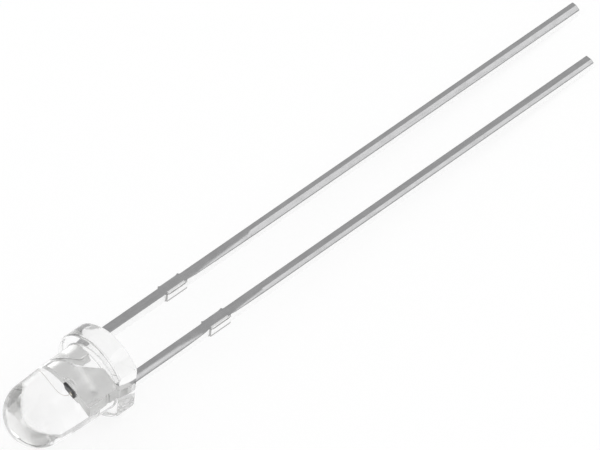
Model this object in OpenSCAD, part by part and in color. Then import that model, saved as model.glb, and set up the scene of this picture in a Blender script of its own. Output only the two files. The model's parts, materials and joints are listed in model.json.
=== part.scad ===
// Through hole LED, 3 mm round, water clear, lying at rest on a flat surface.
// Each piece is modelled upright: the lens points along +Z, the seating face of the
// flange is at z = 0, and the two leads hang down in the XZ plane, the anode on -X.
// The whole lamp is then laid down on its rim and its two lead tips.

/* [Lens body] */
// Height of the body, from the seating face to the tip of the dome
body_h = 5.4; // [5:0.05:6.5]
// Diameter of the straight root of the barrel, which a panel clip grips
barrel_d = 3.04; // [2.9:0.01:3.2]
// Length of the straight root of the barrel, from the shoulder of the flange
barrel_straight = 1.1; // [0.8:0.05:1.4]
// Radius of the dome
dome_r = 1.44; // [1.3:0.01:1.46]
// Diameter of the flange
flange_d = 3.9; // [3.8:0.05:4.2]
// Thickness of the flange
flange_t = 1; // [0.9:0.05:1.2]
// Distance from the axis to the flat that marks the cathode
flat_from_axis = 1.6; // [1.56:0.02:1.8]
// Rounding of the front rim of the flange
rim_r = 0.1; // [0.05:0.01:0.15]
// Fillet between the barrel and the shoulder of the flange
root_fillet = 0.06; // [0.03:0.01:0.1]

/* [Leads] */
// Distance between the centre lines of the two leads
lead_pitch = 2.54; // [2.5:0.01:2.6]
// Width of a lead, across the lead frame
lead_w = 0.45; // [0.4:0.01:0.5]
// Thickness of the sheet that the lead frame is stamped from
sheet_t = 0.45; // [0.35:0.01:0.5]
// Length of the anode lead below the seating face
anode_len = 28.9; // [20:0.1:34]
// How much shorter the cathode lead is
cathode_shorter = 1.8; // [1:0.1:3]
// Distance from the seating face to the middle of the cut dam bar
dam_from_seat = 4.9; // [3:0.1:6]
// Width of the cut dam bar
dam_w = 1.15; // [0.8:0.05:1.4]
// How far the stub of the dam bar stands out of the lead
dam_proud = 0.08; // [0.05:0.01:0.12]
// Fillet at each corner of a stub
dam_fillet = 0.07; // [0.03:0.01:0.09]
// How deep the punch drew in the face that it entered, at the sheared edge of a stub
roll_drop = 0.06; // [0.03:0.005:0.08]
// How far inside the sheared edge that roll starts
roll_run = 0.19; // [0.12:0.01:0.2]
// Flat ears that stay at both ends of a roll
roll_ear = 0.05; // [0.03:0.01:0.1]

/* [Posts inside the body] */
// Height above the seating face at which the leads step inwards
step_z = 0.4; // [0.3:0.05:0.6]
// Height of that step
step_h = 0.35; // [0.25:0.05:0.45]
// Clear resin between the posts and the wall of the barrel
resin_cover = 0.3; // [0.25:0.01:0.35]
// Height of the underside of the posts, above the flange's seating face
foot_z = 0.68; // [0.64:0.02:0.8]
// Height at which the bevel under a post meets the inner edge of its lead
foot_root_z = 0.1; // [0.05:0.05:0.3]
// Width of that bevel
foot_bevel_w = 0.42; // [0.3:0.02:0.5]
// Width of the anode post at its foot
anode_post_w = 0.77; // [0.7:0.01:0.8]
// Height at which the inner edge of the anode post starts to lean outwards
slope_z = 1.18; // [1.1:0.02:1.3]
// Steepness of the slope between the anode post and the anvil
slope_deg = 57.5; // [54:0.5:62]
// Width of the bonding head of the anode post
anode_head_w = 0.25; // [0.22:0.01:0.3]
// Height of the bonding head of the anode post
anode_top_z = 2.42; // [2.3:0.02:2.5]
// Gap between the anode post and the wing of the anvil
post_gap = 0.1; // [0.08:0.01:0.14]
// Height of the underside of the wing of the anvil
wing_z = 1.65; // [1.55:0.01:1.75]
// Distance of the waist of the anvil from the axis, on the side of the anode
waist_x = 0.4; // [0.36:0.01:0.42]
// Width of the anvil at its foot
anvil_foot_w = 1.07; // [0.95:0.01:1.1]
// Radius of the lock notches in the outer edges of the posts
notch_r = 0.09; // [0.06:0.01:0.1]
// Height of the lock notches
notch_z = 1.35; // [1.2:0.05:1.5]

/* [Reflector cup] */
// Distance of the cup from the axis, towards the anode lead
cup_off = 0.03; // [0:0.01:0.06]
// Diameter of the coined head that holds the cup
cup_head_d = 0.78; // [0.76:0.01:0.84]
// Height of the rim of the cup, which is level with the top of the anvil
cup_rim_z = 2.42; // [2.36:0.01:2.5]
// Height of the straight lip below the rim
cup_lip_h = 0.04; // [0.03:0.01:0.06]
// Height over which the flat sheet swells into the round head
cup_neck_h = 0.3; // [0.26:0.01:0.34]
// Diameter of the cup at its rim
cup_mouth_d = 0.66; // [0.64:0.01:0.7]
// Diameter of the cup at its floor
cup_floor_d = 0.54; // [0.53:0.01:0.56]
// Depth of the cup
cup_depth = 0.11; // [0.1:0.01:0.14]

/* [Chip and bond] */
// Side of the square chip
chip_side = 0.33; // [0.28:0.01:0.33]
// Height of the chip
chip_h = 0.2; // [0.15:0.01:0.22]
// Thickness of the adhesive under the chip
glue_t = 0.02; // [0.015:0.005:0.03]
// Height of the fillet of adhesive round the chip
glue_fillet_h = 0.05; // [0.04:0.005:0.07]
// Diameter of the adhesive on the floor of the cup
glue_d = 0.52; // [0.51:0.01:0.53]
// Distance of the bond from the edge of the chip on the side of the cathode lead
bond_inset = 0.05; // [0.05:0.01:0.12]
// Diameter of the bond wire
wire_d = 0.025; // [0.02:0.005:0.03]
// Rise of the wire above the chip before it bends over
wire_rise = 0.8; // [0.7:0.02:0.9]
// Rise of the wire above the anode head before it bends over
wire_fall = 0.16; // [0.1:0.02:0.3]
// Diameter of the ball and of the stitch that weld the wire down
bond_d = 0.09; // [0.07:0.01:0.1]
// Height of the ball and of the stitch
bond_h = 0.03; // [0.02:0.005:0.04]

/* [Hidden] */
$fn = 96;

flange_r = flange_d / 2;
barrel_r = barrel_d / 2;
barrel_top_z = flange_t + barrel_straight;
dome_z = body_h - dome_r;
cathode_len = anode_len - cathode_shorter;
lead_x = lead_pitch / 2;
lead_outer_x = lead_x + lead_w / 2;
lead_inner_x = lead_x - lead_w / 2;

// The side of the barrel is the tangent from the top of its straight root to the dome
taper_run = dome_z - barrel_top_z;
taper_angle = acos(dome_r / norm([barrel_r, taper_run])) - atan(taper_run / barrel_r);

// Posts: their outer edges keep the resin cover at the corners of the sheet
post_outer_x = sqrt(pow(barrel_r - resin_cover, 2) - pow(sheet_t / 2, 2));
step_top_z = step_z + step_h;
foot_bevel_x = lead_inner_x - foot_bevel_w;
anode_inner_x = post_outer_x - anode_post_w;
anode_head_x = post_outer_x - anode_head_w;
wing_tip_x = anode_head_x - post_gap;
anvil_foot_x = post_outer_x - anvil_foot_w;
cup_floor_z = cup_rim_z - cup_depth;
head_root_z = cup_rim_z - cup_lip_h - cup_neck_h;

// The slope between the posts, drawn on the side of the anode: the edge of the wing runs
// square to it at the gap, so both follow one steepness
function slope_x(z, gap) = anode_inner_x - gap / sin(slope_deg) + (z - slope_z) / tan(slope_deg);
function slope_height(x, gap) = slope_z + (x - anode_inner_x + gap / sin(slope_deg)) * tan(slope_deg);

// Chip and wire
chip_z = cup_floor_z + glue_t;
chip_top_z = chip_z + chip_h;
ball_top = [chip_side / 2 - cup_off - bond_inset, chip_top_z + bond_h];
stitch_top = [-(anode_head_x + post_outer_x) / 2, anode_top_z + bond_h];
wire_rings = 28;
wire_sides = 8;

// Rest on a flat surface: the rim of the seating face and the lower edges of both tips touch
// it. The surface rises by dip_slope along the lamp and falls by roll_slope across it.
tip_stagger = cathode_shorter / lead_pitch;
tip_arm = anode_len - tip_stagger * lead_inner_x;
rim_term = pow(tip_arm, 2) - pow(flange_r * tip_stagger, 2);
rim_lift = pow(flange_r, 2) - pow(sheet_t / 2, 2);
dip_slope = (sqrt(pow(tip_arm * sheet_t, 2) + 4 * rim_term * rim_lift) - tip_arm * sheet_t) / (2 * rim_term);
roll_slope = dip_slope * tip_stagger;
roll_angle = atan(roll_slope);
dip_angle = atan(dip_slope * cos(roll_angle));

// The box of the lamp at rest, which centres it over the origin
rest_tip_x = anode_len * cos(dip_angle)
    + (lead_outer_x * sin(roll_angle) + sheet_t / 2 * cos(roll_angle)) * sin(dip_angle);
rest_dome_x = -(body_h - dome_r) * cos(dip_angle) - dome_r;
flat_half = sqrt(pow(flange_r, 2) - pow(flat_from_axis, 2));
rest_flat_y = -(flat_from_axis * cos(roll_angle) + flat_half * sin(roll_angle));
rest_lift = flange_r * cos(dip_angle);

// Lays an upright piece down with the lens towards -X and the cathode towards -Y
module laid_down() {
    translate([-(rest_tip_x + rest_dome_x) / 2, -(flange_r + rest_flat_y) / 2, rest_lift])
        rotate([roll_angle, dip_angle, 0])
            rotate([90, 0, -90])
                children();
}

// The quarter of a square that a fillet of radius r leaves in an inside corner at the origin
module corner_fill(r) {
    difference() {
        square(r);
        translate([r, r])
            circle(r);
    }
}

// Half section of the body: flange, straight root, drafted barrel and dome
module body_section() {
    difference() {
        square([flange_r, flange_t]);
        translate([flange_r - rim_r, flange_t - rim_r])
            difference() {
                square(2 * rim_r);
                circle(rim_r);
            }
    }
    translate([barrel_r, flange_t])
        corner_fill(root_fillet);
    polygon([
        [0, 0],
        [barrel_r, 0],
        [barrel_r, barrel_top_z],
        [dome_r * cos(taper_angle), dome_z + dome_r * sin(taper_angle)],
        [0, dome_z + dome_r * sin(taper_angle)]
    ]);
    intersection() {
        translate([0, dome_z])
            circle(dome_r);
        translate([0, dome_z])
            square([dome_r, dome_r]);
    }
}

// Flat sheet of the lead frame, from an outline drawn in x and z
module stamped() {
    rotate([90, 0, 0])
        linear_extrude(sheet_t, center = true)
            children();
}

// Outline of a lead below the step, from its tip at z = -length, with the two dam bar stubs
module lead_outline(length) {
    translate([lead_inner_x, -length])
        square([lead_w, length + step_z]);
    translate([lead_x - lead_w / 2 - dam_proud, -dam_from_seat - dam_w / 2])
        square([lead_w + 2 * dam_proud, dam_w]);
    for (side = [0, 1], end = [0, 1])
        translate([lead_x, -dam_from_seat])
            mirror([side, 0])
                mirror([0, end])
                    translate([lead_w / 2, dam_w / 2])
                        corner_fill(dam_fillet);
}

// The wide roll that shearing leaves on the top face, on both sides of a lead
module shear_rolls() {
    roll_r = (pow(roll_run, 2) + pow(roll_drop, 2)) / (2 * roll_drop);
    for (side = [0, 1])
        translate([lead_x, sheet_t / 2, -dam_from_seat])
            mirror([side, 0, 0])
                translate([lead_w / 2 + dam_proud - roll_run, 0, 0])
                    difference() {
                        translate([0, -roll_r / 2, roll_ear - dam_w / 2])
                            cube([roll_r, roll_r, dam_w - 2 * roll_ear]);
                        translate([0, -roll_r, -dam_w / 2])
                            cylinder(h = dam_w, r = roll_r);
                    }
}

// A half round lock notch in the outer edge of a post
module lock_notch() {
    translate([post_outer_x, notch_z])
        circle(notch_r);
}

// Outline of the anode post and its lead, drawn on the side of the cathode
module anode_outline() {
    lead_outline(anode_len);
    difference() {
        polygon([
            [lead_outer_x, step_z],
            [post_outer_x, step_top_z],
            [post_outer_x, anode_top_z],
            [anode_head_x, anode_top_z],
            [anode_head_x, slope_height(anode_head_x, 0)],
            [anode_inner_x, slope_z],
            [anode_inner_x, foot_z],
            [foot_bevel_x, foot_z],
            [lead_inner_x, foot_root_z],
            [lead_outer_x, foot_root_z]
        ]);
        lock_notch();
    }
}

// Outline of the anvil, its wing over the anode post, and its lead
module cathode_outline() {
    lead_outline(cathode_len);
    difference() {
        polygon([
            [lead_outer_x, step_z],
            [post_outer_x, step_top_z],
            [post_outer_x, cup_rim_z],
            [-wing_tip_x, cup_rim_z],
            [-wing_tip_x, slope_height(wing_tip_x, post_gap)],
            [-slope_x(wing_z, post_gap), wing_z],
            [-waist_x, wing_z],
            [anvil_foot_x, foot_z],
            [foot_bevel_x, foot_z],
            [lead_inner_x, foot_root_z],
            [lead_outer_x, foot_root_z]
        ]);
        lock_notch();
    }
}

// Round head coined out of the top of the anvil, still without its cup
module cup_head() {
    translate([-cup_off, 0, head_root_z])
        cylinder(h = cup_neck_h, d1 = sheet_t, d2 = cup_head_d);
    translate([-cup_off, 0, cup_rim_z - cup_lip_h])
        cylinder(h = cup_lip_h, d = cup_head_d);
}

module cup_hollow() {
    translate([-cup_off, 0, cup_floor_z])
        cylinder(h = cup_depth, d1 = cup_floor_d, d2 = cup_mouth_d);
}

module anode_solid() {
    mirror([1, 0, 0])
        difference() {
            stamped()
                anode_outline();
            shear_rolls();
        }
}

module cathode_solid() {
    difference() {
        union() {
            stamped()
                cathode_outline();
            cup_head();
        }
        shear_rolls();
        cup_hollow();
    }
}

module chip_solid() {
    translate([-cup_off - chip_side / 2, -chip_side / 2, chip_z])
        cube([chip_side, chip_side, chip_h]);
}

module glue_solid() {
    translate([-cup_off, 0, cup_floor_z])
        cylinder(h = glue_fillet_h, d1 = glue_d, d2 = glue_d - glue_fillet_h);
}

// Loop of the wire in the XZ plane: a cubic that leaves the ball upright and comes down upright
function loop_point(t) =
    pow(1 - t, 3) * ball_top
    + 3 * t * pow(1 - t, 2) * (ball_top + [0, wire_rise])
    + 3 * pow(t, 2) * (1 - t) * (stitch_top + [0, wire_fall])
    + pow(t, 3) * stitch_top;

function loop_heading(t) =
    pow(1 - t, 2) * [0, wire_rise]
    + 2 * t * (1 - t) * (stitch_top - ball_top + [0, wire_fall - wire_rise])
    - pow(t, 2) * [0, wire_fall];

// One ring of the wire, of radius r round the point p and square to its heading
function wire_ring(p, heading, r) =
    let (along = heading / norm(heading))
    [for (i = [0:wire_sides - 1])
        let (a = 360 * (i + 0.5) / wire_sides, out = r * cos(a))
        [p[0] + out * along[1], r * sin(a), p[1] - out * along[0]]];

// The wire, its ball on the chip and its stitch on the post, swept as one skin
module wire_solid() {
    up = [0, 1];
    wall = [0, bond_h / 2];
    points = concat(
        wire_ring(ball_top - 2 * wall, up, bond_d / 2),
        wire_ring(ball_top - wall, up, bond_d / 2),
        [for (i = [0:wire_rings]) each
            wire_ring(loop_point(i / wire_rings), loop_heading(i / wire_rings), wire_d / 2)],
        wire_ring(stitch_top - wall, -up, bond_d / 2),
        wire_ring(stitch_top - 2 * wall, -up, bond_d / 2)
    );
    last = len(points) - wire_sides;
    sides = [for (low = [0:wire_sides:last - 1], i = [0:wire_sides - 1])
        let (j = (i + 1) % wire_sides, high = low + wire_sides)
        [low + i, low + j, high + j, high + i]];
    ends = [[for (i = [wire_sides - 1:-1:0]) i], [for (i = [0:wire_sides - 1]) last + i]];
    polyhedron(points, concat(sides, ends));
}

module epoxy_lens() {
    color([0.93, 0.95, 0.96, 0.4])
        laid_down()
            difference() {
                rotate_extrude()
                    body_section();
                translate([flat_from_axis, -flange_r, 0])
                    cube([flange_r, flange_d, flange_t]);
                anode_solid();
                cathode_solid();
                glue_solid();
                chip_solid();
                wire_solid();
            }
}

module anode_lead() {
    color([0.72, 0.73, 0.75])
        laid_down()
            anode_solid();
}

module cathode_lead() {
    color([0.7, 0.71, 0.73])
        laid_down()
            cathode_solid();
}

module die_attach() {
    color([0.6, 0.6, 0.62])
        laid_down()
            difference() {
                glue_solid();
                chip_solid();
            }
}

module led_chip() {
    color([0.12, 0.12, 0.14])
        laid_down()
            chip_solid();
}

module bond_wire() {
    color([0.85, 0.68, 0.3])
        laid_down()
            wire_solid();
}

epoxy_lens();
anode_lead();
cathode_lead();
die_attach();
led_chip();
bond_wire();
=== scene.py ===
"""Looks of a clear 3 mm through hole lamp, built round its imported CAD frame.

Every piece is modelled upright in millimetres, as the maker draws it: the dome points along +Z,
the seating face of the flange is at z = 0, and the two leads hang down in the XZ plane with the
anode on -X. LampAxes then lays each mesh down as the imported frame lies.
"""

import json
import logging
import math
from collections.abc import Iterable, Sequence
from dataclasses import dataclass, field
from enum import Enum, IntEnum

import bmesh
import bpy
from bmesh.types import BMesh, BMEdge, BMFace, BMVert
from mathutils import Matrix, Vector


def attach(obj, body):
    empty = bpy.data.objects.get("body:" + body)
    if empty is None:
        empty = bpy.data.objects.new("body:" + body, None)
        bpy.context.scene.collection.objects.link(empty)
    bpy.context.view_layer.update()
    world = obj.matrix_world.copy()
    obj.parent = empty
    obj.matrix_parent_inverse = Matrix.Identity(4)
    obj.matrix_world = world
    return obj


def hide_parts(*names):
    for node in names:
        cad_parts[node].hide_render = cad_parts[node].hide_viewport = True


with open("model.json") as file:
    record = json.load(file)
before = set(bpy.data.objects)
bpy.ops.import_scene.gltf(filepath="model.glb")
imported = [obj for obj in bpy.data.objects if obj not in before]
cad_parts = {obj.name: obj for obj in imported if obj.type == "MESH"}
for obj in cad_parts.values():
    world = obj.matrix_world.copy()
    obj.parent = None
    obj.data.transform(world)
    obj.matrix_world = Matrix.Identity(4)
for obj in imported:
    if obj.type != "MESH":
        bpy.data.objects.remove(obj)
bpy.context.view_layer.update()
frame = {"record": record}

MM = 0.001
BODY = "root"
WELD = 1e-5
UP = Vector((0, 0, 1))
NODE_SPACING = 200
logging.basicConfig(level=logging.INFO, format="%(levelname)s %(message)s")
log = logging.getLogger("lamp")


class Side(Enum):
    """Which pole of the lamp a lead belongs to; the value is its direction along X."""

    ANODE = -1
    CATHODE = 1


class Plate(IntEnum):
    """Where each finish of a stamped strip stands among its materials."""

    TIN = 0
    SILVER = 1
    STEEL = 2
    EDGE_SILVER = 3
    # A rougher, near-white copy of the tin: painted highlight on the sheared sides of the lead and on
    # the gentle part of the rolled stub.
    EDGE_TIN = 4


class Slot(Enum):
    """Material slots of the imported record."""

    RESIN = "clear_epoxy"
    STRIP = "tinned_steel"
    ADHESIVE = "silver_adhesive"
    CHIP = "semiconductor"
    WIRE = "gold_wire"


@dataclass(frozen=True)
class LampAxes:
    """Where the upright lamp lies in the row frame.

    Attributes:
        seat: Centre of the seating face, in metres.
        across: Local X, from the anode towards the cathode.
        through: Local Y, out of the upper face of the sheet.
        along: Local Z, towards the dome.
    """

    seat: Vector
    across: Vector
    through: Vector
    along: Vector

    @classmethod
    def from_record(cls, record: dict) -> "LampAxes":
        """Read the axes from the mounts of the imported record.

        Args:
            record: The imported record.

        Returns:
            The axes of the lamp as it lies.
        """
        mounts = {mount["name"]: mount for mount in record["mounts"]}
        seat = Vector(mounts["seating_face"]["pos_m"])
        along = -Vector(mounts["seating_face"]["axis"]).normalized()
        shoulder = Vector(mounts["flange_shoulder"]["pos_m"]) - seat
        across = (along * shoulder.dot(along) - shoulder).normalized()
        return cls(seat, across, along.cross(across), along)

    def turn(self) -> Matrix:
        """Give the rotation from the upright lamp to the row frame."""
        return Matrix((self.across, self.through, self.along)).transposed()

    def matrix(self) -> Matrix:
        """Give the placing of an upright mesh in millimetres, in the row frame."""
        return Matrix.Translation(self.seat) @ self.turn().to_4x4() @ Matrix.Scale(MM, 4)


def smooth_step(value: float) -> float:
    """Ease a value from 0 to 1, with flat ends.

    Args:
        value: Any number; below 0 counts as 0 and above 1 as 1.

    Returns:
        The eased value.
    """
    held = min(max(value, 0.0), 1.0)
    return held * held * (3 - 2 * held)


def direction(azimuth_deg: float, elevation_deg: float) -> Vector:
    """Give the direction at two angles of the row frame.

    Args:
        azimuth_deg: Angle from row +X towards row +Y.
        elevation_deg: Angle above the floor.

    Returns:
        The direction, one unit long.
    """
    turn, lift = math.radians(azimuth_deg), math.radians(elevation_deg)
    return Vector((math.cos(turn) * math.cos(lift), math.sin(turn) * math.cos(lift), math.sin(lift)))


def round_off(
    bm: BMesh, items: Iterable[BMVert | BMEdge], width: float, segments: int, affect: str = "EDGES"
) -> None:
    """Round corners of a wire or a flat outline, or sharp edges of a solid.

    Args:
        bm: Mesh that holds them.
        items: The corner vertices or the edges.
        width: How far the rounding reaches on each side, in mm.
        segments: Steps of each rounding.
        affect: VERTICES for corners and EDGES for edges.
    """
    bmesh.ops.bevel(
        bm, geom=list(items), offset=width, offset_type="OFFSET", segments=segments,
        profile=0.5, affect=affect, material=-1, clamp_overlap=False,
    )


def cut_across(
    bm: BMesh, axis: str, place: float, faces: Sequence[BMFace] | None = None, drop: bool = False
) -> None:
    """Cut a plane that is square to an axis through a mesh.

    Args:
        bm: Mesh to cut.
        axis: X, Y or Z.
        place: Where the plane meets the axis, in mm.
        faces: The only faces to cut; left out, it cuts them all.
        drop: Whether what lies past the plane is dropped.
    """
    if faces is None:
        geom = bm.verts[:] + bm.edges[:] + bm.faces[:]
    else:
        edges = dict.fromkeys(edge for face in faces for edge in face.edges)
        verts = dict.fromkeys(vert for face in faces for vert in face.verts)
        geom = [*verts, *edges, *faces]
    normal = Vector((0, 0, 0))
    normal["XYZ".index(axis)] = 1
    bmesh.ops.bisect_plane(
        bm, geom=geom, dist=WELD, plane_co=normal * place, plane_no=normal, clear_outer=drop
    )


def close_up(bm: BMesh) -> None:
    """Merge doubled vertices and turn every face outwards."""
    bmesh.ops.remove_doubles(bm, verts=bm.verts[:], dist=WELD)
    bmesh.ops.dissolve_degenerate(bm, dist=WELD, edges=bm.edges[:])
    bmesh.ops.recalc_face_normals(bm, faces=bm.faces[:])


def revolve(bm: BMesh, steps: int) -> None:
    """Spin a wire that starts and ends on the Z axis into a closed skin.

    Args:
        bm: Mesh that holds nothing but the wire, in the XZ plane.
        steps: Facets of the full turn.
    """
    bmesh.ops.spin(
        bm, geom=bm.verts[:] + bm.edges[:], cent=(0, 0, 0), axis=(0, 0, 1), dvec=(0, 0, 0),
        angle=math.tau, steps=steps, use_merge=True, use_duplicate=False,
    )
    close_up(bm)


def draw_wire(bm: BMesh, points: Sequence[tuple[float, float]]) -> list[BMVert]:
    """Draw a wire through points of the XZ plane, for a skin to be spun from.

    Args:
        bm: Mesh to draw in.
        points: x and z of each point, in mm.

    Returns:
        The vertices, in order.
    """
    verts = [bm.verts.new((x, 0, z)) for x, z in points]
    for pair in zip(verts, verts[1:]):
        bm.edges.new(pair)
    return verts


def as_object(bm: BMesh, name: str) -> bpy.types.Object:
    """Put a mesh into the scene as an object.

    Args:
        bm: Mesh, which is freed.
        name: Name of the object.

    Returns:
        The object, linked to the scene.
    """
    mesh = bpy.data.meshes.new(name)
    bm.to_mesh(mesh)
    bm.free()
    made = bpy.data.objects.new(name, mesh)
    bpy.context.scene.collection.objects.link(made)
    return made


def fused(base: BMesh, other: BMesh) -> BMesh:
    """Fuse two closed solids into one skin.

    Args:
        base: First solid, which is freed.
        other: Solid to add, which is freed.

    Returns:
        The skin of their union.
    """
    holder, tool = as_object(base, "fuse_base"), as_object(other, "fuse_tool")
    union = holder.modifiers.new("union", "BOOLEAN")
    union.operation = "UNION"
    union.solver = "EXACT"
    union.object = tool
    bpy.context.view_layer.update()
    evaluated = holder.evaluated_get(bpy.context.evaluated_depsgraph_get())
    result = bmesh.new()
    result.from_mesh(evaluated.to_mesh())
    evaluated.to_mesh_clear()
    for used in (holder, tool):
        mesh = used.data
        bpy.data.objects.remove(used)
        bpy.data.meshes.remove(mesh)
    bmesh.ops.remove_doubles(result, verts=result.verts[:], dist=WELD)
    return result


@dataclass(frozen=True)
class Piece:
    """Attributes:
        name: Name of the object.
        slot: Material slot of the record; not used.
        node: CAD node that the piece stands for.
        sharp_deg: Edges that turn more than this stay sharp, in degrees.
    """

    name: str
    slot: Slot
    node: str
    sharp_deg: float = 38.0

    def make(
        self, bm: BMesh, axes: LampAxes, materials: Sequence[bpy.types.Material]
    ) -> bpy.types.Object:
        """Lay the mesh down, dress it and let it ride on the body.

        Args:
            bm: Upright mesh in mm, which is freed.
            axes: Where the lamp lies.
            materials: Materials, in the order of the face indices.

        Returns:
            The piece's object.
        """
        bm.transform(axes.matrix())
        piece = as_object(bm, self.name)
        mesh = piece.data
        mesh.shade_smooth()
        mesh.set_sharp_from_angle(angle=math.radians(self.sharp_deg))
        for material in materials:
            mesh.materials.append(material)
        normals = piece.modifiers.new("flat_faces_first", "WEIGHTED_NORMAL")
        normals.keep_sharp = True
        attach(piece, BODY)
        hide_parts(self.node)
        log.info("piece %s: %d faces", self.name, len(mesh.polygons))
        return piece


class NodeBoard:
    """A node tree with short calls that add a node and join it to what feeds it."""

    def __init__(self, tree: bpy.types.NodeTree) -> None:
        """Take an empty or a new tree."""
        self.tree = tree
        self.column = 0

    def add(self, kind: str, inputs: dict | None = None, **settings: object) -> bpy.types.Node:
        """Add a node.

        Args:
            kind: Type name of the node.
            inputs: Plain value of each input, by name or index, or the output that feeds it.
            settings: Attributes of the node itself.

        Returns:
            The node.
        """
        node = self.tree.nodes.new(kind)
        node.location = (self.column, 0)
        self.column += NODE_SPACING
        for name, value in settings.items():
            setattr(node, name, value)
        for name, value in (inputs or {}).items():
            if isinstance(value, bpy.types.NodeSocket):
                self.tree.links.new(value, node.inputs[name])
            else:
                node.inputs[name].default_value = value
        return node

    def value(
        self, kind: str, inputs: dict | None = None, **settings: object
    ) -> bpy.types.NodeSocket:
        """Add a node, and give its first output."""
        return self.add(kind, inputs, **settings).outputs[0]


def new_group(name: str, sizes: dict[str, float], outputs: Sequence[str]) -> NodeBoard:
    """Start a shader node group that makes a pattern from a place and a few sizes.

    Args:
        name: Name of the group.
        sizes: Default of each size that it takes, in mm.
        outputs: Names of the values that it puts out.

    Returns:
        The board of the new group.
    """
    tree = bpy.data.node_groups.new(name, "ShaderNodeTree")
    tree.interface.new_socket("Vector", in_out="INPUT", socket_type="NodeSocketVector")
    for label, default in sizes.items():
        socket = tree.interface.new_socket(label, in_out="INPUT", socket_type="NodeSocketFloat")
        socket.default_value = default
    for label in outputs:
        tree.interface.new_socket(label, in_out="OUTPUT", socket_type="NodeSocketFloat")
    return NodeBoard(tree)


def rolled_grain_group() -> bpy.types.NodeTree:
    """Make the streaks that rolling and drawing leave along the leads.

    Returns:
        A group that puts out a streak value from 0 to 1 and a height.
    """
    board = new_group("rolled_grain", {"Width": 0.05, "Length": 1.0}, ("Streaks", "Height"))
    given = board.add("NodeGroupInput").outputs
    per_width = board.value("ShaderNodeMath", {0: 1.0, 1: given["Width"]}, operation="DIVIDE")
    per_length = board.value("ShaderNodeMath", {0: 1.0, 1: given["Length"]}, operation="DIVIDE")
    stretch = board.value("ShaderNodeCombineXYZ", {"X": per_width, "Y": per_width, "Z": per_length})
    scaled = board.value(
        "ShaderNodeVectorMath", {0: given["Vector"], 1: stretch}, operation="MULTIPLY"
    )
    coarse = board.value(
        "ShaderNodeTexNoise", {"Vector": scaled, "Scale": 1.0, "Detail": 3.0, "Roughness": 0.6}
    )
    fine = board.value(
        "ShaderNodeTexNoise", {"Vector": scaled, "Scale": 3.7, "Detail": 2.0, "Roughness": 0.5}
    )
    streaks = board.value("ShaderNodeMapRange", {"Value": coarse, "From Min": 0.3, "From Max": 0.7})
    board.add("NodeGroupOutput", {"Streaks": streaks, "Height": fine})
    return board.tree


def mottle_group() -> bpy.types.NodeTree:
    """Make the soft mottling of plating, resin and adhesive.

    Returns:
        A group that puts out a blotch value and a speck value, each from 0 to 1.
    """
    board = new_group("mottle", {"Size": 0.2}, ("Blotches", "Specks"))
    given = board.add("NodeGroupInput").outputs
    per_size = board.value("ShaderNodeMath", {0: 1.0, 1: given["Size"]}, operation="DIVIDE")
    finer = board.value("ShaderNodeMath", {0: per_size, 1: 4.0}, operation="MULTIPLY")
    noise = board.value(
        "ShaderNodeTexNoise",
        {"Vector": given["Vector"], "Scale": per_size, "Detail": 4.0, "Roughness": 0.55},
    )
    cells = board.add("ShaderNodeTexVoronoi", {"Vector": given["Vector"], "Scale": finer})
    blotches = board.value("ShaderNodeMapRange", {"Value": noise, "From Min": 0.3, "From Max": 0.7})
    specks = board.value(
        "ShaderNodeMapRange",
        {"Value": cells.outputs["Distance"], "From Max": 0.5, "To Min": 1.0, "To Max": 0.0},
    )
    board.add("NodeGroupOutput", {"Blotches": blotches, "Specks": specks})
    return board.tree


class Coat(NodeBoard):
    """A material under work, whose patterns are measured in mm of the upright lamp."""

    def __init__(self, name: str, axes: LampAxes) -> None:
        """Start the material with its shader and the place that its patterns read.

        Args:
            name: Name of the material.
            axes: Where the lamp lies.
        """
        self.material = bpy.data.materials.new(name)
        self.material.use_nodes = True
        super().__init__(self.material.node_tree)
        self.tree.nodes.clear()
        back = axes.turn().transposed()
        self.upright = self.value(
            "ShaderNodeMapping",
            {
                "Vector": self.add("ShaderNodeTexCoord").outputs["Object"],
                "Location": -(back @ axes.seat) / MM,
                "Rotation": back.to_euler(),
                "Scale": (1 / MM, 1 / MM, 1 / MM),
            },
        )
        self.shader = self.add("ShaderNodeBsdfPrincipled")
        self.add("ShaderNodeOutputMaterial", {"Surface": self.shader.outputs[0]})

    def pattern(self, group: bpy.types.NodeTree, **sizes: float) -> bpy.types.NodeOutputs:
        """Lay a pattern over the piece.

        Args:
            group: Group that makes the pattern.
            sizes: The group's sizes, in mm.

        Returns:
            What the group puts out.
        """
        inputs = {"Vector": self.upright, **sizes}
        return self.add("ShaderNodeGroup", inputs, node_tree=group).outputs

    def feed(self, label: str, source: bpy.types.NodeSocket) -> None:
        """Feed an input of the shader."""
        self.tree.links.new(source, self.shader.inputs[label])

    def tint(
        self, source: bpy.types.NodeSocket, low: Sequence[float], high: Sequence[float]
    ) -> None:
        """Colour the piece between the colours of a value of 0 and of 1.

        The inputs of a mix have like names for each kind of data, so they go by their index.
        """
        colours = {0: source, 6: (*low, 1), 7: (*high, 1)}
        self.feed("Base Color", self.add("ShaderNodeMix", colours, data_type="RGBA").outputs[2])

    def gloss(self, source: bpy.types.NodeSocket, low: float, high: float) -> None:
        """Set the roughness between those of a value of 0 and of 1."""
        ends = {"Value": source, "To Min": low, "To Max": high}
        self.feed("Roughness", self.value("ShaderNodeMapRange", ends))

    def relief(self, source: bpy.types.NodeSocket, height_mm: float) -> None:
        """Raise the surface by a height, in mm, where a value is 1."""
        rise = {"Strength": 1.0, "Distance": height_mm * MM, "Height": source}
        self.feed("Normal", self.value("ShaderNodeBump", rise))


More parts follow.
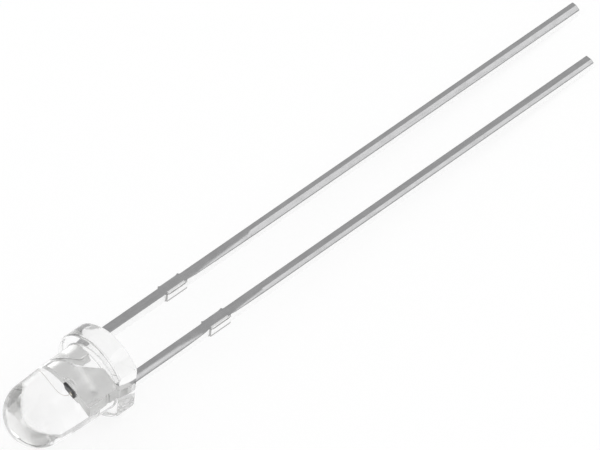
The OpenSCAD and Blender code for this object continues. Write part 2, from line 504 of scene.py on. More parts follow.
class Dressing:
    """What every finish needs: the lamp's axes and the shared node groups."""

    def __init__(self, axes: LampAxes) -> None:
        """Build each shared group once."""
        self.axes = axes
        self.grain = rolled_grain_group()
        self.mottle = mottle_group()

    def start(self, name: str, **values: object) -> Coat:
        """Start a material.

        Args:
            name: Name of the material.
            values: Plain values of its shader, by the name of the input with _ for a space.

        Returns:
            The material under work.
        """
        coat = Coat(name, self.axes)
        for label, value in values.items():
            coat.shader.inputs[label.replace("_", " ")].default_value = value
        return coat


@dataclass(frozen=True)
class ClearResin:
    """Water-clear cast resin, polished by its mould.

    Attributes:
        ior: Refractive index of the cured resin.
        smear_mm: Size of the faint smears that handling leaves.
        smear_roughness: Roughness in the smears; between them the skin is polished.
        ripple_mm: Size of the ripples of the mould's skin.
        ripple_depth_mm: Height of those ripples.
    """

    ior: float = 1.53
    smear_mm: float = 0.9
    smear_roughness: float = 0.03
    ripple_mm: float = 0.6
    ripple_depth_mm: float = 0.002

    def material(self, dressing: Dressing) -> bpy.types.Material:
        """Make the resin's material.

        Args:
            dressing: Axes and shared groups.

        Returns:
            The material.
        """
        coat = dressing.start(
            "clear_resin", Base_Color=(1, 1, 1, 1), Transmission_Weight=1.0, IOR=self.ior
        )
        smear = coat.pattern(dressing.mottle, Size=self.smear_mm)
        ripple = coat.pattern(dressing.mottle, Size=self.ripple_mm)
        coat.gloss(smear["Blotches"], 0.0, self.smear_roughness)
        coat.relief(ripple["Blotches"], self.ripple_depth_mm)
        return coat.material


@dataclass(frozen=True)
class PlatedStrip:
    """A plated face of the stamped strip.

    Attributes:
        name: Name of the material.
        dark: Colour in the troughs of the grain.
        light: Colour on its ridges.
        roughness: Lowest and highest roughness.
        grain_mm: Width and length of the streaks.
        relief_mm: Height of the grain.
    """

    name: str
    dark: tuple[float, float, float]
    light: tuple[float, float, float]
    roughness: tuple[float, float]
    grain_mm: tuple[float, float]
    relief_mm: float

    def material(self, dressing: Dressing) -> bpy.types.Material:
        """Make the plating's material.

        Args:
            dressing: Axes and shared groups.

        Returns:
            The material.
        """
        coat = dressing.start(self.name, Metallic=1.0)
        width, length = self.grain_mm
        grain = coat.pattern(dressing.grain, Width=width, Length=length)
        cloud = coat.pattern(dressing.mottle, Size=length)
        half = coat.value("ShaderNodeMath", {0: cloud["Blotches"], 1: 0.5}, operation="MULTIPLY")
        blend = coat.value(
            "ShaderNodeMath", {0: grain["Streaks"], 1: 0.5, 2: half}, operation="MULTIPLY_ADD"
        )
        coat.tint(blend, self.dark, self.light)
        coat.gloss(cloud["Blotches"], *self.roughness)
        coat.relief(grain["Height"], self.relief_mm)
        return coat.material


@dataclass(frozen=True)
class SpeckledFinish:
    """A finish with fine specks: filled adhesive, a sawn chip or a bond pad.

    Attributes:
        name: Name of the material.
        ground: Colour between the specks.
        speck: Colour of the specks.
        roughness: Lowest and highest roughness.
        speck_mm: Size of the specks.
        metallic: How metallic the surface is.
        relief_mm: Height of the specks.
    """

    name: str
    ground: tuple[float, float, float]
    speck: tuple[float, float, float]
    roughness: tuple[float, float]
    speck_mm: float
    metallic: float
    relief_mm: float

    def material(self, dressing: Dressing) -> bpy.types.Material:
        """Make the speckled material.

        Args:
            dressing: Axes and shared groups.

        Returns:
            The material.
        """
        coat = dressing.start(self.name, Metallic=self.metallic)
        mottle = coat.pattern(dressing.mottle, Size=self.speck_mm)
        coat.tint(mottle["Specks"], self.ground, self.speck)
        coat.gloss(mottle["Blotches"], *self.roughness)
        coat.relief(mottle["Specks"], self.relief_mm)
        return coat.material


STRIP_FINISHES = {
    Plate.TIN: PlatedStrip(
        "tin_plate", dark=(0.42, 0.42, 0.425), light=(0.53, 0.53, 0.535),
        roughness=(0.16, 0.3), grain_mm=(0.035, 0.5), relief_mm=0.0012,
    ),
    Plate.SILVER: PlatedStrip(
        "silver_plate", dark=(0.88, 0.88, 0.875), light=(0.96, 0.96, 0.95),
        roughness=(0.14, 0.26), grain_mm=(0.05, 0.4), relief_mm=0.0008,
    ),
    Plate.STEEL: PlatedStrip(
        "sheared_steel", dark=(0.38, 0.38, 0.38), light=(0.58, 0.575, 0.57),
        roughness=(0.2, 0.45), grain_mm=(0.12, 0.03), relief_mm=0.003,
    ),
    Plate.EDGE_SILVER: PlatedStrip(
        "edge_silver", dark=(0.6, 0.6, 0.595), light=(0.76, 0.76, 0.75),
        roughness=(0.24, 0.4), grain_mm=(0.05, 0.2), relief_mm=0.002,
    ),
    # Near-white tin: painted highlight for the lead's sheared sides and its rolled stub, which face
    # the bright floor.
    Plate.EDGE_TIN: PlatedStrip(
        "edge_tin_painted_highlight", dark=(0.95, 0.95, 0.95), light=(1.0, 1.0, 1.0),
        roughness=(0.3, 0.5), grain_mm=(0.04, 0.4), relief_mm=0.002,
    ),
}
ADHESIVE = SpeckledFinish(
    "silver_adhesive", ground=(0.5, 0.5, 0.5), speck=(0.78, 0.77, 0.75),
    roughness=(0.35, 0.6), speck_mm=0.03, metallic=0.7, relief_mm=0.002,
)
SAWN = SpeckledFinish(
    "sawn_chip", ground=(0.035, 0.035, 0.04), speck=(0.09, 0.09, 0.1),
    roughness=(0.25, 0.5), speck_mm=0.02, metallic=0.0, relief_mm=0.001,
)
PAD = SpeckledFinish(
    "bond_pad", ground=(0.75, 0.55, 0.22), speck=(0.9, 0.7, 0.32),
    roughness=(0.2, 0.35), speck_mm=0.02, metallic=1.0, relief_mm=0.0005,
)
GOLD = SpeckledFinish(
    "gold_wire", ground=(0.9, 0.87, 0.82), speck=(0.96, 0.93, 0.88),
    roughness=(0.12, 0.25), speck_mm=0.04, metallic=1.0, relief_mm=0.0003,
)


@dataclass
class ResinBody:
    """The cast body: flange with a flat, drafted barrel and dome, all sizes in mm."""

    body_h: float = 5.4
    barrel_r: float = 1.52
    barrel_top_z: float = 2.1
    dome_r: float = 1.44
    flange_r: float = 1.95
    flange_t: float = 1.0
    flat_x: float = 1.6
    rim_r: float = 0.1
    root_fillet: float = 0.06
    back_rim_r: float = 0.09
    flat_ease: float = 0.025
    rim_weld: float = 0.015
    dome_steps: int = 40
    turn_steps: int = 160
    piece: Piece = field(default=Piece("resin_body", Slot.RESIN, "epoxy_lens", 30.0))

    def draw_section(self, bm: BMesh) -> None:
        """Draw the half section as a wire from the axis round to the tip of the dome."""
        dome_z = self.body_h - self.dome_r
        run = dome_z - self.barrel_top_z
        lean = math.acos(self.dome_r / math.hypot(self.barrel_r, run)) - math.atan(run / self.barrel_r)
        corners = draw_wire(
            bm,
            [
                (0, 0),
                (self.flange_r, 0),
                (self.flange_r, self.flange_t),
                (self.barrel_r, self.flange_t),
                (self.barrel_r, self.barrel_top_z),
                (self.dome_r * math.cos(lean), dome_z + self.dome_r * math.sin(lean)),
            ],
        )
        bmesh.ops.spin(
            bm, geom=[corners[-1]], cent=(0, 0, dome_z), axis=(0, -1, 0), dvec=(0, 0, 0),
            angle=math.pi / 2 - lean, steps=self.dome_steps, use_merge=False, use_duplicate=False,
        )
        for corner, radius in (
            (corners[1], self.back_rim_r), (corners[2], self.rim_r), (corners[3], self.root_fillet)
        ):
            round_off(bm, [corner], radius, segments=6, affect="VERTICES")

    def cut_flat(self, bm: BMesh) -> None:
        """Cut the flat that marks the cathode and ease its edges.

        Corners of its rim that lie closer than rim_weld would fold under the rounding, so they
        are merged before it, in their order round the rim.
        """
        cut_across(bm, "X", self.flat_x, drop=True)
        corners = sorted(
            (vert for vert in bm.verts if vert.is_boundary),
            key=lambda vert: math.atan2(vert.co.y, vert.co.z - self.flange_t / 2),
        )
        bmesh.ops.remove_doubles(bm, verts=corners, dist=self.rim_weld)
        rim = [edge for edge in bm.edges if edge.is_boundary]
        bmesh.ops.contextual_create(bm, geom=rim)
        round_off(bm, rim, self.flat_ease, segments=3)

    def build(self, axes: LampAxes, resin: bpy.types.Material) -> bpy.types.Object:
        """Model the body and dress it.

        Args:
            axes: Where the lamp lies.
            resin: Material of the resin.

        Returns:
            The body's object.
        """
        bm = bmesh.new()
        self.draw_section(bm)
        revolve(bm, self.turn_steps)
        self.cut_flat(bm)
        close_up(bm)
        return self.piece.make(bm, axes, [resin])


@dataclass
class DamStub:
    """The stub that the cut dam bar leaves on each side of a lead, in mm."""

    centre_z: float = -4.9
    length: float = 1.15
    proud: float = 0.08
    fillet: float = 0.07
    roll_run: float = 0.19
    roll_drop: float = 0.06
    tear_y: float = -0.12
    ear: float = 0.05
    ear_ease: float = 0.07
    corner_r: float = 0.015
    cut_margin: float = 0.03
    cut_reach: float = 0.1
    cuts_across: int = 8
    cuts_along: int = 22

    @property
    def low_z(self) -> float:
        """Lower end of the stub."""
        return self.centre_z - self.length / 2

    @property
    def high_z(self) -> float:
        """Upper end of the stub."""
        return self.centre_z + self.length / 2

    def corners(self, edge_x: float, out: int) -> list[tuple[float, float, float]]:
        """List the corners of the stub on one edge of the lead, upwards.

        Args:
            edge_x: Edge of the lead.
            out: 1 where the stub stands out towards +X and -1 towards -X.

        Returns:
            x, z and corner radius of each corner, in mm.
        """
        proud_x = edge_x + out * self.proud
        return [
            (edge_x, self.low_z, self.fillet),
            (proud_x, self.low_z, self.corner_r),
            (proud_x, self.high_z, self.corner_r),
            (edge_x, self.high_z, self.fillet),
        ]

    def drop(self, from_edge: float, z: float) -> float:
        """Give how far the rolled face has sunk.

        Args:
            from_edge: Distance inside the sheared face, in mm.
            z: Height, in mm.

        Returns:
            The depth, in mm.
        """
        across = 1 - min(from_edge / self.roll_run, 1.0)
        inside = self.length / 2 - self.ear - abs(z - self.centre_z)
        return self.roll_drop * across * across * smooth_step(inside / self.ear_ease)


@dataclass
class LeadStrip:
    """One stamped strip: a lead below the seating face and its post inside the body, in mm.

    The facet runs along one upper edge below the stub, and the neck facet between the stub and the
    flange. The fields that end in nx, ny or nz bound a part of a face's normal, by which its
    plating is chosen.
    """

    side: Side
    piece: Piece
    length: float
    lead_x: float = 1.27
    width: float = 0.45
    sheet: float = 0.45
    step_z: float = 0.4
    step_top_z: float = 0.75
    post_outer_x: float = 1.1993
    notch_r: float = 0.09
    notch_z: float = 1.35
    foot_z: float = 0.68
    foot_bevel_x: float = 0.625
    foot_root_z: float = 0.1
    slope_z: float = 1.18
    slope_deg: float = 57.5
    anode_inner_x: float = 0.43
    anode_head_x: float = 0.9493
    anode_top_z: float = 2.42
    tip_r: float = 0.03
    step_r: float = 0.05
    post_r: float = 0.05
    head_r: float = 0.04
    lean_r: float = 0.06
    notch_steps: int = 8
    die_roll: float = 0.035
    burr_ease: float = 0.012
    plating_z: float = 0.2
    tip_h: float = 0.05
    sheared_ny: float = 0.5
    torn_nz: float = 0.3
    tip_nz: float = 0.9
    rolled_nx: float = 0.12
    steep_ny: float = 0.8
    facet_w: float = 0.23
    facet_run: float = 4.0
    facet_onset: float = 0.35
    facet_steps: int = 10
    facet_gap: float = 0.1
    facet_root_z: float = 0.05
    neck_facet_w: float = 0.0
    neck_facet_run: float = 1.5
    facet_deg: float = 31.0
    facet_ease: float = 0.012
    stub: DamStub = field(default_factory=DamStub)

    @property
    def outer_x(self) -> float:
        """Outer edge of the lead."""
        return self.lead_x + self.width / 2

    @property
    def inner_x(self) -> float:
        """Inner edge of the lead."""
        return self.lead_x - self.width / 2

    def slope_x(self, z: float, gap: float = 0.0) -> float:
        """Give how far from the axis the slope between the posts lies.

        Args:
            z: Height, in mm.
            gap: Distance square to the anode's slope, in mm.

        Returns:
            The distance on the anode's side, in mm.
        """
        lean = math.radians(self.slope_deg)
        return self.anode_inner_x - gap / math.sin(lean) + (z - self.slope_z) / math.tan(lean)

    def slope_height(self, x: float, gap: float = 0.0) -> float:
        """Give the height of the slope at a distance from the axis, the inverse of slope_x."""
        outside = x - self.slope_x(self.slope_z, gap)
        return self.slope_z + outside * math.tan(math.radians(self.slope_deg))

    def post_points(self) -> list[tuple[float, float, float]]:
        """List the corners of the post from its outer step round to the inner edge of the lead.

        Returns:
            x, z and corner radius of each corner, in mm.
        """
        raise NotImplementedError

    def outer_points(self) -> list[tuple[float, float, float]]:
        """List the corners of the outer edge of the lead and of the post's lock notch, upwards."""
        turns = [math.pi * step / self.notch_steps for step in range(self.notch_steps + 1)]
        notch = [
            (
                self.post_outer_x - self.notch_r * math.sin(turn),
                self.notch_z - self.notch_r * math.cos(turn),
                0.0,
            )
            for turn in turns
        ]
        return [
            (self.outer_x, -self.length, self.tip_r),
            *self.stub.corners(self.outer_x, 1),
            (self.outer_x, self.step_z, self.step_r),
            (self.post_outer_x, self.step_top_z, self.step_r),
            *notch,
        ]

    def inner_points(self) -> list[tuple[float, float, float]]:
        """List the corners of the inner edge of the lead, downwards."""
        return [
            *reversed(self.stub.corners(self.inner_x, -1)),
            (self.inner_x, -self.length, self.tip_r),
        ]

    def stamp(self) -> BMesh:
        """Stamp the strip out of the sheet, with its rolled upper and its crisp lower edges.

        Returns:
            The closed strip, for the cathode's side of the lamp.
        """
        bm = bmesh.new()
        corners = self.outer_points() + self.post_points() + self.inner_points()
        verts = [bm.verts.new((x, self.sheet / 2, z)) for x, z, _ in corners]
        bm.faces.new(verts)
        for radius in sorted({radius for _, _, radius in corners if radius}):
            chosen = [vert for vert, corner in zip(verts, corners) if corner[2] == radius]
            round_off(bm, chosen, radius, segments=4, affect="VERTICES")
        bmesh.ops.recalc_face_normals(bm, faces=bm.faces[:])
        upper = bm.faces[:]
        grown = bmesh.ops.extrude_face_region(bm, geom=upper, use_keep_orig=True)
        lower = [item for item in grown["geom"] if isinstance(item, BMVert)]
        bmesh.ops.translate(bm, verts=lower, vec=(0, -self.sheet, 0))
        bmesh.ops.recalc_face_normals(bm, faces=bm.faces[:])
        for level, width in ((self.sheet / 2, self.die_roll), (-self.sheet / 2, self.burr_ease)):
            rim = [
                edge
                for edge in bm.edges
                if all(abs(vert.co.y - level) < WELD for vert in edge.verts)
            ]
            round_off(bm, rim, width, segments=3)
        return bm

    def roll_stubs(self, bm: BMesh) -> None:
        """Sink the upper face towards both sheared faces of the stub, as the punch draws it in."""
        stub = self.stub
        low, high = stub.low_z - stub.cut_reach, stub.high_z + stub.cut_reach
        edge_in, edge_out = self.inner_x - stub.proud, self.outer_x + stub.proud

        def on_lead(face: BMFace) -> bool:
            """Tell whether a face reaches into the stretch of the stub."""
            heights = [vert.co.z for vert in face.verts]
            return max(heights) > low + WELD and min(heights) < high - WELD

        def on_stub(face: BMFace) -> bool:
            """Tell whether a face lies in the stretch of the stub."""
            heights = [vert.co.z for vert in face.verts]
            return min(heights) > low - WELD and max(heights) < high + WELD

        for axis, first, last, cuts, near in (
            ("Z", low, high, stub.cuts_along, on_lead),
            ("X", edge_in + stub.cut_margin, edge_in + stub.roll_run, stub.cuts_across, on_stub),
            ("X", edge_out - stub.roll_run, edge_out - stub.cut_margin, stub.cuts_across, on_stub),
        ):
            for index in range(cuts):
                place = first + (last - first) * index / (cuts - 1)
                cut_across(bm, axis, place, [face for face in bm.faces if near(face)])
        for vert in bm.verts:
            if self.is_upper(vert):
                nearest = min(vert.co.x - edge_in, edge_out - vert.co.x)
                vert.co.y -= stub.drop(nearest, vert.co.z)

    def is_upper(self, vert: BMVert) -> bool:
        """Tell whether a vertex lies on the upper face of the sheet or on its rolled rim."""
        return vert.co.y > self.sheet / 2 - 2 * self.die_roll

    @property
    def facing(self) -> int:
        """Direction of X, as the strip is stamped, in which the edge with the facet looks."""
        return self.side.value

    def facet_lean(self, z: float) -> float:
        """Measure how steep the facet is: flat at the stub, and full after its run.

        Args:
            z: Place along the strip, in mm from the seating face.

        Returns:
            The tangent of the facet's angle at that place.
        """
        stub = self.stub
        run = self.facet_run if z < stub.centre_z else self.neck_facet_run
        gone = (abs(z - stub.centre_z) - stub.length / 2 - self.facet_gap) / run
        share = min(max(gone, 0.0), 1.0) ** self.facet_onset
        share *= min(max(1 - z / self.facet_root_z, 0.0), 1.0)
        return math.tan(math.radians(self.facet_deg * share))

    def coin_facet(self, bm: BMesh) -> None:
        """Coin a facet along one upper edge: it turns out of the face beyond the stub."""
        edge_x = self.lead_x + self.facing * self.width / 2
        below, above = self.stub.low_z - self.facet_gap, self.stub.high_z + self.facet_gap
        ridge: dict[BMEdge, None] = {}
        sunk: dict[BMVert, float] = {}
        for start_z, end_z, run, width in (
            (below, -self.length, -self.facet_run, self.facet_w),
            (above, self.facet_root_z, self.neck_facet_run, self.neck_facet_w),
        ):
            if width == 0:
                continue
            knots = [start_z + run * step / self.facet_steps for step in range(self.facet_steps + 1)]
            if end_z > 0:
                knots += [0.0, end_z]
            for knot_z in knots:
                cut_across(bm, "Z", knot_z)
            low_z, high_z = min(start_z, end_z) - WELD, max(start_z, end_z) + WELD
            faces = [
                face for face in bm.faces if all(low_z < vert.co.z < high_z for vert in face.verts)
            ]
            cut_across(bm, "X", edge_x - self.facing * width, faces)
            for vert in bm.verts:
                if not (low_z < vert.co.z < high_z and self.is_upper(vert)):
                    continue
                inside = width - abs(vert.co.x - edge_x)
                if inside > WELD:
                    sunk[vert] = self.facet_lean(vert.co.z) * inside
                elif inside > -WELD and vert.co.z < WELD:
                    for edge in vert.link_edges:
                        away = edge.other_vert(vert).co - vert.co
                        straight = abs(away.x) < WELD and abs(away.y) < WELD
                        if straight and low_z < vert.co.z + away.z < WELD:
                            ridge[edge] = None
        for vert, depth in sunk.items():
            vert.co.y -= depth
        round_off(bm, ridge, self.facet_ease, segments=2)

    def add_head(self, bm: BMesh) -> BMesh:
        """Add what is coined onto the strip; a plain strip has nothing."""
        return bm

    def mark_plating(self, bm: BMesh) -> None:
        """Give the post silver, the lead tin, and the cut faces bare steel.

        The sheared edges take the plating rougher than the rolled faces; on the lead, near-white tin,
        painted highlight.
        """
        cut_across(bm, "Z", self.plating_z)
        cut_across(bm, "Y", self.stub.tear_y)
        bm.normal_update()
        for face in bm.faces:
            face.material_index = self.plate_of(face)

    def plate_of(self, face: BMFace) -> Plate:
        """Choose the plating of a face.

        Args:
            face: Face of the strip.

        Returns:
            The place of its finish among the strip's materials.
        """
        stub = self.stub
        middle = face.calc_center_median()
        normal = face.normal
        from_stub = abs(middle.z - stub.centre_z)
        if middle.z > self.plating_z:
            return Plate.EDGE_SILVER if abs(normal.y) < self.sheared_ny else Plate.SILVER
        if normal.z < -self.tip_nz and middle.z < self.tip_h - self.length:
            return Plate.STEEL
        # Sheared sides: bare steel where torn on the stub, elsewhere the near-white tin, painted
        # highlight.
        if abs(normal.y) < self.sheared_ny:
            torn = middle.y < stub.tear_y or abs(normal.z) > self.torn_nz
            on_stub = from_stub < stub.length / 2 + stub.fillet
            return Plate.STEEL if on_stub and torn else Plate.EDGE_TIN
        # The gentle part of the rolled stub gets the near-white tin, painted highlight; its steep part
        # gets bare steel.
        rolled = from_stub < stub.length / 2 - stub.ear and middle.y > 0
        if rolled and self.facing * normal.x > self.rolled_nx:
            return Plate.STEEL if normal.y < self.steep_ny else Plate.EDGE_TIN
        return Plate.TIN

    def build(self, axes: LampAxes, materials: Sequence[bpy.types.Material]) -> bpy.types.Object:
        """Stamp, roll and dress the strip.

        Args:
            axes: Where the lamp lies.
            materials: Material of each plating, in the order of Plate.

        Returns:
            The strip's object.
        """
        bm = self.stamp()
        self.roll_stubs(bm)
        self.coin_facet(bm)
        bm = self.add_head(bm)
        self.mark_plating(bm)
        if self.side is Side.ANODE:
            bmesh.ops.scale(bm, vec=(-1, 1, 1), verts=bm.verts[:])
        close_up(bm)
        return self.piece.make(bm, axes, materials)


@dataclass
class AnodePost(LeadStrip):
    """The longer strip: its post leans away from the anvil up to a narrow bonding head."""

    side: Side = Side.ANODE
    piece: Piece = field(default=Piece("anode_strip", Slot.STRIP, "anode_lead"))
    length: float = 28.9

    def post_points(self) -> list[tuple[float, float, float]]:
        """List the corners of the post and its head, drawn on the cathode's side."""
        return [
            (self.post_outer_x, self.anode_top_z, self.head_r),
            (self.anode_head_x, self.anode_top_z, self.head_r),
            (self.anode_head_x, self.slope_height(self.anode_head_x), self.lean_r),
            (self.anode_inner_x, self.slope_z, self.lean_r),
            (self.anode_inner_x, self.foot_z, self.post_r),
            (self.foot_bevel_x, self.foot_z, self.post_r),
            (self.inner_x, self.foot_root_z, self.post_r),
        ]


@dataclass
class CathodeAnvil(LeadStrip):
    """The shorter strip: its anvil carries the coined head with the reflector cup."""

    side: Side = Side.CATHODE
    piece: Piece = field(default=Piece("cathode_strip", Slot.STRIP, "cathode_lead"))
    length: float = 27.1
    facet_w: float = 0.17
    facet_run: float = 2.0
    neck_facet_w: float = 0.22
    post_gap: float = 0.1
    anvil_top_z: float = 2.42
    wing_z: float = 1.65
    waist_x: float = -0.4
    foot_x: float = 0.13
    cup_x: float = -0.03
    head_d: float = 0.78
    neck_h: float = 0.3
    lip_h: float = 0.04
    rim_z: float = 2.42
    mouth_d: float = 0.66
    floor_d: float = 0.54
    cup_depth: float = 0.11
    skirt_r: float = 0.03
    lip_r: float = 0.015
    mouth_r: float = 0.02
    floor_r: float = 0.03
    head_steps: int = 96

    def post_points(self) -> list[tuple[float, float, float]]:
        """List the corners of the anvil and of its wing, which reaches over the anode post."""
        tip_x = self.anode_head_x - self.post_gap
        return [
            (self.post_outer_x, self.anvil_top_z, self.post_r),
            (-tip_x, self.anvil_top_z, self.head_r),
            (-tip_x, self.slope_height(tip_x, self.post_gap), self.post_r),
            (-self.slope_x(self.wing_z, self.post_gap), self.wing_z, self.post_r),
            (self.waist_x, self.wing_z, self.post_r),
            (self.foot_x, self.foot_z, self.post_r),
            (self.foot_bevel_x, self.foot_z, self.post_r),
            (self.inner_x, self.foot_root_z, self.post_r),
        ]

    def add_head(self, bm: BMesh) -> BMesh:
        """Fuse the round head with its polished cup onto the anvil."""
        head = bmesh.new()
        floor_z = self.rim_z - self.cup_depth
        root_z = self.rim_z - self.lip_h - self.neck_h
        corners = draw_wire(
            head,
            [
                (0, root_z),
                (self.sheet / 2, root_z),
                (self.head_d / 2, self.rim_z - self.lip_h),
                (self.head_d / 2, self.rim_z),
                (self.mouth_d / 2, self.rim_z),
                (self.floor_d / 2, floor_z),
                (0, floor_z),
            ],
        )
        radii = (self.skirt_r, self.lip_r, self.mouth_r, self.floor_r)
        for corner, radius in zip(corners[2:], radii):
            round_off(head, [corner], radius, segments=4, affect="VERTICES")
        revolve(head, self.head_steps)
        bmesh.ops.translate(head, verts=head.verts[:], vec=(self.cup_x, 0, 0))
        return fused(bm, head)


@dataclass
class DieStack:
    """The adhesive, the chip and its bond pad on the floor of the cup, in mm."""

    cup_x: float = -0.03
    floor_z: float = 2.31
    glue_r: float = 0.26
    glue_t: float = 0.02
    climb: float = 0.05
    glue_steps: int = 48
    glue_rings: int = 9
    middle_rings: float = 1.5
    thin_share: float = 0.4
    taper_share: float = 0.3
    chip_side: float = 0.33
    chip_h: float = 0.2
    saw_step: float = 0.008
    edge_ease: float = 0.006
    pad_r: float = 0.05
    pad_inset: float = 0.05
    pad_h: float = 0.004
    pad_draft: float = 0.94
    pad_steps: int = 40
    sharp_rad: float = 1.0
    glue_piece: Piece = field(default=Piece("adhesive_fillet", Slot.ADHESIVE, "die_attach"))
    chip_piece: Piece = field(default=Piece("sawn_chip", Slot.CHIP, "led_chip"))

    def adhesive(self) -> BMesh:
        """Model the adhesive, which climbs the sides of the chip and thins out round it."""
        bm = bmesh.new()
        ring_w = self.glue_r / (self.glue_rings + self.middle_rings)
        bmesh.ops.create_circle(bm, cap_ends=True, radius=self.glue_r, segments=self.glue_steps)
        for _ in range(self.glue_rings):
            disc = max(bm.faces, key=lambda face: face.calc_area())
            bmesh.ops.inset_region(bm, faces=[disc], thickness=ring_w, use_even_offset=True)
        grown = bmesh.ops.extrude_face_region(bm, geom=bm.faces[:], use_keep_orig=True)
        upper = [item for item in grown["geom"] if isinstance(item, BMVert)]
        half = self.chip_side / 2
        thin = self.glue_t * self.thin_share
        for vert in upper:
            outside = max(abs(vert.co.x), abs(vert.co.y)) - half
            fade = 1 - smooth_step(outside / (self.glue_r - half))
            edge = smooth_step((self.glue_r - vert.co.xy.length) / (self.taper_share * self.glue_r))
            vert.co.z += thin + (self.climb - thin) * fade * edge
        bmesh.ops.translate(bm, verts=bm.verts[:], vec=(self.cup_x, 0, self.floor_z))
        close_up(bm)
        return bm

    def chip(self) -> BMesh:
        """Model the chip with its saw step, eased edges and round bond pad."""
        bm = bmesh.new()
        made = bmesh.ops.create_cube(bm, size=1)
        bmesh.ops.scale(bm, vec=(self.chip_side, self.chip_side, self.chip_h), verts=made["verts"])
        top = max(bm.faces, key=lambda face: face.calc_center_median().z)
        bmesh.ops.inset_region(bm, faces=[top], thickness=self.saw_step, use_even_offset=True)
        sharp = [edge for edge in bm.edges if edge.calc_face_angle(0) > self.sharp_rad]
        round_off(bm, sharp, self.edge_ease, segments=2)
        middle_z = self.floor_z + self.glue_t + self.chip_h / 2
        bmesh.ops.translate(bm, verts=bm.verts[:], vec=(0, 0, middle_z))
        pad = bmesh.ops.create_cone(
            bm, cap_ends=True, segments=self.pad_steps, radius1=self.pad_r,
            radius2=self.pad_r * self.pad_draft, depth=2 * self.pad_h,
        )
        pad_x = self.chip_side / 2 - self.pad_inset
        bmesh.ops.translate(bm, verts=pad["verts"], vec=(pad_x, 0, middle_z + self.chip_h / 2))
        for vert in pad["verts"]:
            for face in vert.link_faces:
                face.material_index = 1
        bmesh.ops.translate(bm, verts=bm.verts[:], vec=(self.cup_x, 0, 0))
        return bm

    def build(
        self, axes: LampAxes, adhesive: bpy.types.Material, chip: Sequence[bpy.types.Material]
    ) -> None:
        """Build both pieces.

        Args:
            axes: Where the lamp lies.
            adhesive: Material of the adhesive.
            chip: Materials of the chip and of its pad.
        """
        self.glue_piece.make(self.adhesive(), axes, [adhesive])
        self.chip_piece.make(self.chip(), axes, chip)


@dataclass
class BondWire:
    """The gold wire with its ball on the chip and its stitch on the anode post, in mm.

    The profiles of ball and stitch give heights in halves of bond_h, and radii in parts of bond_r.
    """

    start_x: float = 0.085
    start_z: float = 2.53
    end_x: float = -1.0743
    end_z: float = 2.42
    wire_r: float = 0.0125
    rise: float = 0.8
    fall: float = 0.16
    bond_r: float = 0.045
    bond_h: float = 0.03
    ball: tuple[tuple[float, float], ...] = (
        (0.0, 0.86), (0.35, 1.0), (1.0, 0.97), (1.35, 0.8), (1.6, 0.52)
    )
    stitch: tuple[tuple[float, float], ...] = (
        (1.6, 0.52), (1.3, 0.8), (0.9, 0.97), (0.35, 1.0), (0.0, 0.9)
    )
    rings: int = 72
    sides: int = 16
    piece: Piece = field(default=Piece("bond_loop", Slot.WIRE, "bond_wire"))

    def loop(self, share: float) -> tuple[Vector, Vector]:
        """Follow the loop, which leaves the ball upright and comes down upright.

        Args:
            share: Share of the way, from 0 to 1.

        Returns:
            The point and the heading there.
        """
        start = Vector((self.start_x, 0, self.start_z + self.bond_h))
        end = Vector((self.end_x, 0, self.end_z + self.bond_h))
        points = [start, start + UP * self.rise, end + UP * self.fall, end]
        while len(points) > 2:
            points = [near.lerp(far, share) for near, far in zip(points, points[1:])]
        return points[0].lerp(points[1], share), (points[1] - points[0]).normalized()

    def bond(
        self, x: float, z: float, profile: Sequence[tuple[float, float]], heading: Vector
    ) -> list[tuple[Vector, Vector, float]]:
        """List the rings of a bond.

        Args:
            x: Middle of its foot along X.
            z: Height of its foot.
            profile: Height and radius of each ring, in the parts that the class names.
            heading: Direction in which the wire passes it.

        Returns:
            The point, heading and radius of each ring.
        """
        foot = Vector((x, 0, z))
        return [
            (foot + UP * (self.bond_h / 2 * height), heading, self.bond_r * radius)
            for height, radius in profile
        ]

    def build(self, axes: LampAxes, gold: bpy.types.Material) -> bpy.types.Object:
        """Model the wire by growing one ring along its loop, and dress it.

        Args:
            axes: Where the lamp lies.
            gold: Material of the wire.

        Returns:
            The wire's object.
        """
        bm = bmesh.new()
        stations = self.bond(self.start_x, self.start_z, self.ball, UP)
        stations += [(*self.loop(step / self.rings), self.wire_r) for step in range(self.rings + 1)]
        stations += self.bond(self.end_x, self.end_z, self.stitch, -UP)
        ring = bmesh.ops.create_circle(bm, cap_ends=True, radius=1, segments=self.sides)["verts"]
        base = [vert.co.copy() for vert in ring]
        faces = [ring[0].link_faces[0]]
        side = Vector((0, 1, 0))
        for index, (point, heading, radius) in enumerate(stations):
            if index:
                grown = bmesh.ops.extrude_face_region(bm, geom=faces, use_keep_orig=True)
                if index > 1:
                    bmesh.ops.delete(bm, geom=faces, context="FACES_ONLY")
                faces = [item for item in grown["geom"] if isinstance(item, BMFace)]
                ring = [loop.vert for loop in faces[0].loops]
            across = side.cross(heading)
            for vert, unit in zip(ring, base):
                vert.co = point + radius * (unit.x * across + unit.y * side)
        close_up(bm)
        return self.piece.make(bm, axes, [gold])


@dataclass(frozen=True)
class SkyPatch:
    """A soft round patch of the studio's walls that is brighter or darker than the rest.

    Attributes:
        azimuth_deg: Direction of its middle, from row +X towards row +Y.
        elevation_deg: Height of its middle above the floor.
        core_deg: Half angle inside which it has its full strength.
        edge_deg: Half angle at which it has faded out.
        radiance: What it adds to the walls; a negative value makes them darker.
    """

    azimuth_deg: float
    elevation_deg: float
    core_deg: float
    edge_deg: float
    radiance: float

    def middle(self) -> Vector:
        """Give the direction of the middle of the patch."""
        return direction(self.azimuth_deg, self.elevation_deg)


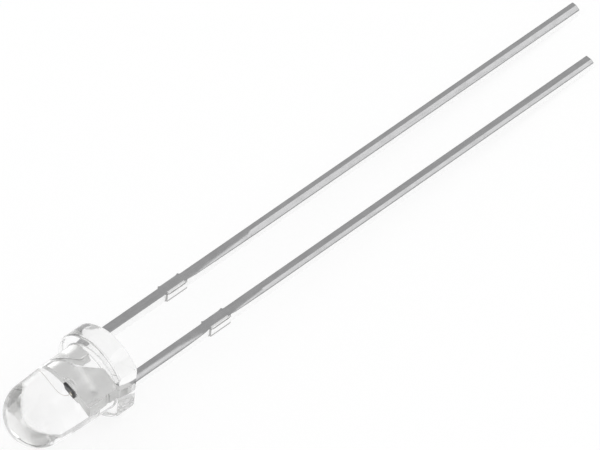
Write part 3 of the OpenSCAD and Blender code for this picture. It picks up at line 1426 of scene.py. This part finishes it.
@dataclass
class Studio:
    """Lit pale floor, soft walls and the photograph's camera, in mm where not said otherwise.

    The azimuth is that of the camera as seen from the lamp, from row +X towards row +Y.
    """

    azimuth_deg: float = -135.11
    elevation_deg: float = 48.41
    distance: float = 370.78
    focal_mm: float = 538.6
    sensor_mm: float = 36.0
    near_mm: float = 10.0
    far_mm: float = 10000.0
    target: tuple[float, float, float] = (-0.292, 0.261, 1.0)
    floor_half: float = 3000.0
    floor_albedo: float = 0.36
    floor_glow: float = 0.77
    wall_radiance: float = 0.64
    light_bounces: int = 128
    patches: tuple[SkyPatch, ...] = (
        SkyPatch(170.0, 52.0, 15.0, 55.0, -0.1),
        SkyPatch(-36.0, 43.0, 9.0, 14.0, 0.9),
    )

    def lay_floor(self) -> None:
        """Lay the pale floor that the lamp rests on, a light table with a matt top."""
        bm = bmesh.new()
        bmesh.ops.create_grid(bm, x_segments=1, y_segments=1, size=self.floor_half * MM)
        floor = as_object(bm, "floor")
        material = bpy.data.materials.new("pale_floor")
        material.use_nodes = True
        shader = material.node_tree.nodes["Principled BSDF"]
        shader.inputs["Base Color"].default_value = (*[self.floor_albedo] * 3, 1)
        shader.inputs["Roughness"].default_value = 1.0
        shader.inputs["Specular IOR Level"].default_value = 0.0
        shader.inputs["Emission Color"].default_value = (1, 1, 1, 1)
        shader.inputs["Emission Strength"].default_value = self.floor_glow
        floor.data.materials.append(material)

    def paint_walls(self) -> None:
        """Paint the studio's walls with their brighter and darker patches."""
        world = bpy.data.worlds.new("studio_walls")
        bpy.context.scene.world = world
        world.use_nodes = True
        board = NodeBoard(world.node_tree)
        board.tree.nodes.clear()
        place = board.add("ShaderNodeTexCoord").outputs["Generated"]
        walls = board.value("ShaderNodeValue")
        walls.default_value = self.wall_radiance
        for patch in self.patches:
            facing = board.add(
                "ShaderNodeVectorMath", {0: place, 1: patch.middle()}, operation="DOT_PRODUCT"
            )
            fade = board.value(
                "ShaderNodeMapRange",
                {
                    "Value": facing.outputs["Value"],
                    "From Min": math.cos(math.radians(patch.edge_deg)),
                    "From Max": math.cos(math.radians(patch.core_deg)),
                    "To Min": 0.0,
                    "To Max": patch.radiance,
                },
                interpolation_type="SMOOTHSTEP",
            )
            walls = board.value("ShaderNodeMath", {0: walls, 1: fade}, operation="ADD")
        sky = board.value("ShaderNodeBackground", {"Color": walls})
        board.add("ShaderNodeOutputWorld", {"Surface": sky})

    def set_camera(self) -> None:
        """Set up the camera at the photograph's viewing angle."""
        data = bpy.data.cameras.new("photo_camera")
        data.lens = self.focal_mm
        data.sensor_width = self.sensor_mm
        data.clip_start = self.near_mm * MM
        data.clip_end = self.far_mm * MM
        camera = bpy.data.objects.new("photo_camera", data)
        back = direction(self.azimuth_deg, self.elevation_deg)
        camera.location = (Vector(self.target) + back * self.distance) * MM
        camera.rotation_mode = "QUATERNION"
        camera.rotation_quaternion = back.to_track_quat("Z", "Y")
        bpy.context.scene.collection.objects.link(camera)
        bpy.context.scene.camera = camera

    def build(self) -> None:
        """Set up the whole studio."""
        self.set_camera()
        self.lay_floor()
        self.paint_walls()
        scene = bpy.context.scene
        scene.view_settings.view_transform = "Standard"
        scene.cycles.max_bounces = self.light_bounces
        scene.cycles.transmission_bounces = self.light_bounces
        scene.cycles.glossy_bounces = self.light_bounces
        log.info("studio: camera, floor and walls")


def main() -> None:
    """Build the studio and the lamp, piece by piece."""
    axes = LampAxes.from_record(frame["record"])
    dressing = Dressing(axes)
    Studio().build()
    ResinBody().build(axes, ClearResin().material(dressing))
    plating = [STRIP_FINISHES[plate].material(dressing) for plate in Plate]
    AnodePost().build(axes, plating)
    CathodeAnvil().build(axes, plating)
    adhesive = ADHESIVE.material(dressing)
    chip = [SAWN.material(dressing), PAD.material(dressing)]
    DieStack().build(axes, adhesive, chip)
    BondWire().build(axes, GOLD.material(dressing))


if __name__ == "__main__":
    main()
